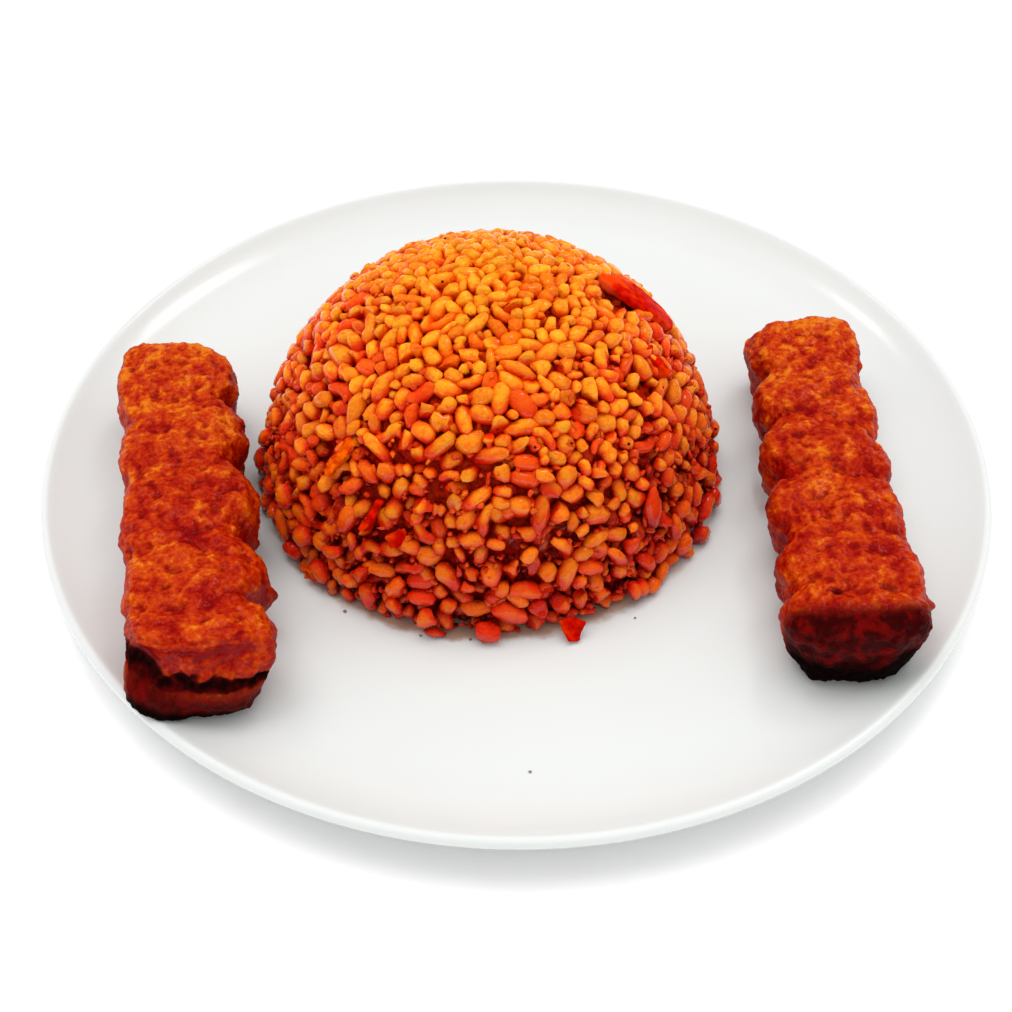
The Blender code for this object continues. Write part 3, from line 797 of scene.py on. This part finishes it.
def lay_on_heap(bit, azimuth, elevation, turn, sink):
    """Turns a bit to lie along the heap's skin and sets it there, that many millimetres deep."""
    out = Vector(heading(azimuth, elevation))
    across = Vector((-out.y, out.x, 0.0)).normalized()
    along = Matrix.Rotation(math.radians(turn), 3, out) @ across
    place = Matrix((along, out.cross(along), out)).transposed().to_4x4()
    middle = np.array([out * (mould_reach(np.array([out]))[0] - sink)])
    place.translation = Vector(set_down(middle)[0])
    bit.matrix_world = place
    bpy.ops.object.transform_apply(location=True, rotation=True, scale=True)


orange_skin, cloudy, shader = start_finish(
    "wet_pepper", Specular_IOR_Level=0.0, Coat_Weight=0.10, Coat_Roughness=0.15
)
streaks = cloudy.grain(0.0020, 4.0, 0.6)
feed(
    shader,
    Base_Color=cloudy.tint(streaks.ramp(0.35, 0.7), srgb(196, 42, 2), srgb(232, 104, 10)),
    Roughness=0.18 + streaks * 0.25,
    Normal=cloudy.bump(streaks, 0.0004),
)
for name, finish, slot, azimuth, elevation, turn, sink, length, width, thickness, curl in (
    ("pepper_shred", orange_skin, "bulgur", -134.0, 35.2, 78.0, 0.5, 0.0112, 0.0030, 0.0022, 30.0),
    ("tomato_shred", wet, "tomato", -119.8, 26.6, 74.0, 0.7, 0.0096, 0.0019, 0.0015, 70.0),
    ("tomato_fleck", wet, "tomato", -112.2, 23.2, 35.0, 1.2, 0.0054, 0.0034, 0.0018, 90.0),
    ("pepper_fleck", orange_skin, "bulgur", -134.1, 2.8, 10.0, 0.2, 0.0058, 0.0034, 0.0026, 60.0),
    ("tomato_peel", wet, "tomato", -15.6, 46.0, 64.0, 1.0, 0.0090, 0.0034, 0.0016, 60.0),
    ("tomato_flake", wet, "tomato", 118.0, 38.0, 30.0, 0.6, 0.0085, 0.0050, 0.0018, 50.0),
    ("pepper_sliver", orange_skin, "bulgur", 60.0, 22.0, 120.0, 0.5, 0.0105, 0.0032, 0.0022, 45.0),
):
    start_primitive()
    bpy.ops.mesh.primitive_cube_add(size=1.0)
    bit = bpy.context.object
    bit.name = name
    bit.scale = (length, width, thickness)
    bpy.ops.object.transform_apply(scale=True)
    bpy.ops.object.mode_set(mode="EDIT")
    bpy.ops.mesh.select_all(action="SELECT")
    bpy.ops.mesh.subdivide(number_cuts=9)
    bpy.ops.object.mode_set(mode="OBJECT")
    rounding = bit.modifiers.new("rounding", "SMOOTH")
    rounding.iterations = 6
    bpy.ops.object.modifier_apply(modifier="rounding")
    crease = bpy.data.textures.new(name + "_crease", "CLOUDS")
    crease.noise_scale = 0.0018
    crumple = bit.modifiers.new("crumple", "DISPLACE")
    crumple.texture = crease
    crumple.strength = 0.85 * thickness
    bpy.ops.object.modifier_apply(modifier="crumple")
    curled = bit.modifiers.new("curled", "SIMPLE_DEFORM")
    curled.deform_method = "BEND"
    curled.deform_axis = "Y"
    curled.angle = math.radians(curl)
    bpy.ops.object.modifier_apply(modifier="curled")
    bpy.ops.object.shade_smooth()
    lay_on_heap(bit, azimuth, elevation, turn, sink)
    bit.data.materials.append(finish)
    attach(bit, "root")
    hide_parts("bulgur_heap")


# ---- Specks on the plate ----
# A few specks of pepper that fell on the bare plate round the food. The largest is a millimetre
# wide, and each is a flattened, lumpy ball.

pepper, cloudy, shader = start_finish("ground_pepper", Roughness=0.8)
feed(shader, Base_Color=cloudy.tint(cloudy.grain(0.0004), srgb(112, 92, 80), srgb(150, 124, 108)))
specks = []
for x, y, size in (
    (-0.0741, -0.0322, 0.00050), (-0.0452, -0.0618, 0.00045), (0.0029, -0.1113, 0.00035),
    (-0.0120, -0.0712, 0.00040), (-0.0250, -0.0700, 0.00035), (0.0310, -0.0640, 0.00030),
):
    start_primitive()
    bpy.ops.mesh.primitive_ico_sphere_add(subdivisions=2, radius=size, location=(x, y, 0.0))
    speck = bpy.context.object
    speck.rotation_euler = (0.0, 0.0, x * 900.0)
    bpy.ops.object.transform_apply(location=True, rotation=True)
    for vert in speck.data.vertices:
        lump = noise.noise(vert.co * 2600.0) * size * 0.5
        vert.co.z = plate_top(math.hypot(x, y)) + 0.0001 + (vert.co.z + size) * 0.55 + lump * 0.4
        vert.co.x += lump
    specks.append(speck)
start_primitive()
for speck in specks:
    speck.select_set(True)
bpy.context.view_layer.objects.active = specks[0]
bpy.ops.object.join()
specks[0].name = "pepper_specks"
bpy.ops.object.origin_set(type="ORIGIN_CURSOR")
specks[0].data.materials.append(pepper)
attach(specks[0], "root")
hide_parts("plate")


# ---- Fried sticks ----
# Two lobed sticks fried in oil until their crust is rough and red-brown, darkest at the ends and
# underneath: partly burnt crust, partly painted shade and painted black shadow. They lie beside
# the dome, their near outer corners up on the plate's wall.

crust, cloudy, shader = start_finish("fried_crust", Specular_IOR_Level=0.03, Coat_Roughness=0.18)
facts = cloudy.node("ShaderNodeAttribute", {"attribute_name": "crust"}, None, "Color")
proud = cloudy.node("ShaderNodeSeparateColor", None, {"Color": facts}, "Red")
burnt_and_shaded = cloudy.node("ShaderNodeSeparateColor", None, {"Color": facts}, "Green")
broad = cloudy.grain(0.011, 4.0, 0.6)
middling = cloudy.grain(0.0042, 4.0, 0.62, (0.4, 0.0, 0.2))
fine = cloudy.grain(0.0013, 3.0, 0.6)
# Upward faces, more so towards the far end, and proud bits are painted a little lighter and warmer: painted
# light from above, laid over the crust's own patchy browning.
upward = cloudy.node("ShaderNodeAttribute", {"attribute_name": "crust"}, None, "Alpha")
warmth_and_light = broad * 0.54 + middling * 0.52 + fine * 0.38 + proud * 0.12 + upward * 0.09 - 0.38
colour = cloudy.tint(warmth_and_light.ramp(0.34, 0.50), srgb(136, 8, 0), srgb(168, 36, 2))
colour = cloudy.tint(warmth_and_light.ramp(0.46, 0.58), colour, srgb(188, 62, 7))
colour = cloudy.tint(warmth_and_light.ramp(0.56, 0.68) * 0.9, colour, srgb(214, 112, 20))
pits = cloudy.grain(0.0040, 5.0, 0.7, (0.0, 0.7, 0.1)).ramp(0.63, 0.72)
colour = cloudy.tint(pits * 0.7, colour, srgb(96, 6, 1))
# Painted shade: the crust's hollows, away from its proud bits, are painted darker.
colour = cloudy.tint((1.0 - proud.ramp(0.05, 0.35)) * 0.45, colour, srgb(88, 5, 1))
# Green: burnt crust and painted shade at the near end, and painted shade underneath, turn deep red.
scorched_and_shaded = (burnt_and_shaded + middling * 0.7 - 0.35).ramp(0.15, 0.75)
deep_red = cloudy.tint(middling.ramp(0.42, 0.66), srgb(56, 2, 1), srgb(104, 8, 1))
colour = cloudy.tint(scorched_and_shaded, colour, deep_red)
# Blue: black char on crumbs and dents, and painted black shadow at the foot of the near end and in the
# seam.
char_and_shadow = cloudy.node("ShaderNodeSeparateColor", None, {"Color": facts}, "Blue")
colour = cloudy.tint(char_and_shadow, colour, srgb(22, 2, 1))
feed(
    shader,
    Base_Color=colour,
    Roughness=0.34 + fine * 0.3 + char_and_shadow * 0.3,
    Coat_Weight=(1.0 - (char_and_shadow + scorched_and_shaded * 0.8).ramp(0.0, 1.0)) * 0.17,
    Normal=cloudy.bump(middling * 0.6 + fine * 0.5, 0.0013),
)

CRUST_VOXEL = 0.00052
DARK_END_SHARE = 0.095
DARK_END_FADE = 0.070
UNDERSIDE_RISE = 0.0055
SEAM_START = 0.0440

# Each stick: its middle, turn and length, and the dents and crumbs of its crust, each with
# its place and spread in the stick's own axes, its push and how black it is. Then come how dark
# the near end is, partly burnt crust and partly painted shade, how high that and the painted black
# shadow at its foot reach, and the dark seam's run and height, painted shade in a groove.
left_seam = ((-0.0190, 0.0202), (-0.0120, 0.0172), (-0.0010, 0.0155), (0.0100, 0.0138), (0.0190, 0.0122))
sticks = (
    ("fried_stick_left", (-0.0873, -0.0366), 13.0, 0.1280, (
        ((0.0172, 0.0320, 0.012), (0.009, 0.0055, 0.020), (-0.0018, 0.0, 0.0), 0.0),
        ((0.0172, 0.0060, 0.012), (0.009, 0.0050, 0.020), (-0.0026, 0.0, 0.0), 0.0),
        ((0.0172, -0.0225, 0.012), (0.009, 0.0048, 0.020), (-0.0034, 0.0, 0.0), 0.0),
        ((0.0172, -0.0430, 0.012), (0.008, 0.0040, 0.020), (-0.0026, 0.0, 0.0), 0.0),
        ((-0.0172, 0.0300, 0.016), (0.008, 0.0060, 0.012), (0.0012, 0.0, 0.0), 0.0),
        ((0.0150, -0.0160, 0.011), (0.003, 0.0018, 0.004), (0.0026, 0.0, 0.0), 0.2),
        ((0.0160, -0.0350, 0.012), (0.003, 0.0024, 0.004), (0.0030, 0.0, 0.0), 0.3),
        ((-0.0176, -0.0560, 0.0080), (0.008, 0.0130, 0.0200), (-0.0024, 0.0, 0.0), 0.0),
        ((-0.0176, 0.0580, 0.0120), (0.008, 0.0080, 0.0200), (0.0014, 0.0, 0.0), 0.0),
        ((0.0020, -0.0660, 0.0225), (0.024, 0.0090, 0.0070), (0.0, 0.0050, 0.0), 0.0),
        ((-0.0190, -0.0640, 0.0225), (0.009, 0.0140, 0.0075), (0.0034, 0.0085, 0.0), 0.0),
        ((-0.0170, 0.0645, 0.0200), (0.0060, 0.0060, 0.0250), (0.0014, -0.0026, -0.0010), 0.0),
        ((0.0180, -0.0640, 0.0040), (0.009, 0.0110, 0.0100), (-0.0040, 0.0032, 0.0), 0.0),
    ), (0.70, 0.0185, 0.0046), left_seam),
    ("fried_stick_right", (0.0838, -0.0252), -1.8, 0.1260, (
        ((-0.0172, 0.0365, 0.012), (0.009, 0.0050, 0.020), (0.0020, 0.0, 0.0), 0.0),
        ((-0.0172, 0.0140, 0.012), (0.009, 0.0045, 0.020), (0.0018, 0.0, 0.0), 0.0),
        ((-0.0172, -0.0075, 0.012), (0.009, 0.0050, 0.020), (0.0022, 0.0, 0.0), 0.0),
        ((-0.0172, -0.0290, 0.012), (0.008, 0.0045, 0.020), (0.0022, 0.0, 0.0), 0.0),
        ((-0.0176, -0.0448, 0.014), (0.003, 0.0016, 0.003), (-0.0030, 0.0, 0.0), 0.2),
        ((0.0176, -0.0462, 0.014), (0.003, 0.0016, 0.003), (0.0034, 0.0, 0.0), 0.3),
        ((-0.0042, -0.0505, 0.0225), (0.0016, 0.0014, 0.004), (0.0, 0.0, -0.0008), 0.8),
        ((0.0080, -0.0501, 0.0225), (0.0018, 0.0013, 0.004), (0.0, 0.0, -0.0008), 0.8),
        ((0.0098, -0.0606, 0.0205), (0.0012, 0.0014, 0.003), (0.0, 0.0, -0.0006), 0.7),
        ((0.0180, -0.0500, 0.014), (0.007, 0.0130, 0.020), (0.0016, 0.0, 0.0), 0.0),
        ((0.0185, -0.0630, 0.006), (0.008, 0.0090, 0.012), (-0.0028, 0.0030, 0.0), 0.2),
        ((-0.0170, -0.0640, 0.006), (0.008, 0.0080, 0.010), (0.0040, 0.0030, 0.0), 0.1),
    ), (0.96, 0.0345, 0.0128), ()),
)
for node, middle, yaw, length, bites, (scorch_and_shade, burn_and_shade_rise, foot_shadow_rise), seam in sticks:
    stick = dress_cad_piece(node, node + "_crusted")
    block = stick.modifiers.new("even", "REMESH")
    block.mode = "VOXEL"
    block.voxel_size = CRUST_VOXEL
    bpy.ops.object.modifier_apply(modifier="even")
    soften = stick.modifiers.new("soften", "SMOOTH")
    soften.iterations = 8
    bpy.ops.object.modifier_apply(modifier="soften")
    for name, kind, scale, strength in (
        ("crag", "SOFT_NOISE", 0.0085, 0.0024),
        ("flake", "SOFT_NOISE", 0.0038, 0.0016),
        ("crumb", "SOFT_NOISE", 0.0017, 0.0008),
    ):
        roughness = bpy.data.textures.new(f"{node}_{name}", "CLOUDS")
        roughness.noise_scale = scale
        roughness.noise_type = kind
        roughen = stick.modifiers.new(name, "DISPLACE")
        roughen.texture = roughness
        roughen.strength = strength
        roughen.mid_level = 0.40
        bpy.ops.object.modifier_apply(modifier=name)
    spots = np.empty(len(stick.data.vertices) * 3)
    stick.data.vertices.foreach_get("co", spots)
    spots = spots.reshape(-1, 3)
    turn = np.array(Matrix.Rotation(math.radians(yaw), 3, "Z"))
    local = (spots - np.array([*middle, FLOOR_TOP])) @ turn
    near_end = np.clip((-local[:, 1] / length - 0.5 + DARK_END_SHARE) / DARK_END_FADE, 0.0, 1.0)
    floor = np.array([plate_top(math.hypot(x, y)) for x, y in spots[:, :2]]) + 0.0002
    above = spots[:, 2] - floor
    # The near end is painted dark: partly burnt crust, partly painted shade on the end that faces away from
    # the lamps.
    burnt_and_shaded = near_end * np.clip((burn_and_shade_rise - above) / 0.012, 0.0, 1.0) * scorch_and_shade
    # Painted shade under each stick: its lower sides near the plate are painted dark.
    under = np.clip((UNDERSIDE_RISE - above) / 0.0050, 0.0, 1.0)
    # Painted black shadow at the foot of the near end.
    charred_and_shadowed = near_end * np.clip((foot_shadow_rise - above) / (0.45 * foot_shadow_rise), 0.0, 1.0)
    # The left stick's seam under its top crust is pressed in and painted dark and black: painted shade in
    # the groove.
    if seam:
        along, rise = np.array(seam).T
        ragged = np.array([noise.noise(Vector(spot) * 260.0) for spot in local])
        from_seam = local[:, 2] - np.interp(local[:, 0], along, rise) - 0.0010 * ragged
        slanted = local[:, 1] + 0.35 * (0.0175 + np.minimum(local[:, 0], 0.0))
        at_end = np.clip((-SEAM_START - slanted) / 0.0040, 0.0, 1.0)
        torn = np.array([noise.noise(Vector(spot) * 700.0 + Vector((3.0, 0.0, 0.0))) for spot in local])
        half_height = np.interp(local[:, 0], (-0.018, 0.018), (0.0021, 0.0016))
        half_height = half_height + 0.0007 * ragged + 0.0005 * torn
        in_seam = at_end * np.exp(-((from_seam / half_height) ** 2))
        local[:, 1] += 0.0015 * in_seam
        charred_and_shadowed = np.maximum(charred_and_shadowed, np.clip(in_seam * (0.80 + 0.7 * torn), 0.0, 0.84))
        burnt_and_shaded = np.maximum(burnt_and_shaded, np.clip(in_seam * 1.4, 0.0, 1.0))
    for spot, spread, push, char_and_shadow in bites:
        near = np.exp(-(((local - np.array(spot)) / np.array(spread)) ** 2).sum(axis=1))
        local = local + near[:, None] * np.array(push)
        charred_and_shadowed = np.maximum(charred_and_shadowed, near * char_and_shadow)
    spots = local @ turn.T + np.array([*middle, FLOOR_TOP])
    floor = np.array([plate_top(math.hypot(x, y)) for x, y in spots[:, :2]]) + 0.0002
    spots[:, 2] = np.maximum(spots[:, 2], floor)
    stick.data.vertices.foreach_set("co", spots.ravel())
    stick.data.update()
    edges = np.empty(len(stick.data.edges) * 2, dtype=np.int64)
    stick.data.edges.foreach_get("vertices", edges)
    edges = edges.reshape(-1, 2)
    normals = np.empty(len(spots) * 3)
    stick.data.vertices.foreach_get("normal", normals)
    normals = normals.reshape(-1, 3)
    links = np.bincount(edges.ravel(), minlength=len(spots))[:, None]
    smoothed = spots.copy()
    for _ in range(24):
        total = np.stack([
            np.bincount(edges[:, 0], smoothed[edges[:, 1], side], len(spots))
            + np.bincount(edges[:, 1], smoothed[edges[:, 0], side], len(spots))
            for side in range(3)
        ], axis=1)
        smoothed = total / links
    proudness = np.einsum("ij,ij->i", spots - smoothed, normals)
    facts = np.zeros((len(spots), 4))
    # Red: how proud the crust stands, for its painted light on bumps and painted shade in hollows.
    facts[:, 0] = np.clip(0.5 + proudness / 0.0008, 0.0, 1.0)
    # Green: burnt crust and painted shade at the near end, painted shade underneath and in the seam.
    facts[:, 1] = np.clip(np.maximum(burnt_and_shaded, under * 0.9), 0.0, 1.0)
    facts[:, 2] = np.clip(charred_and_shadowed * 1.15, 0.0, 1.0)
    # Alpha: how far the crust faces up, more so towards the far end, which the finish paints lighter as
    # painted light.
    facts[:, 3] = np.clip(normals[:, 2], 0.0, 1.0) * (1.0 + 0.7 * np.clip(local[:, 1] / 0.045, 0.0, 1.0))
    marks = stick.data.color_attributes.new("crust", "FLOAT_COLOR", "POINT")
    marks.data.foreach_set("color", facts.ravel())
    bpy.ops.object.shade_smooth()
    stick.data.materials.append(crust)
    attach(stick, "root")
    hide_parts(node)
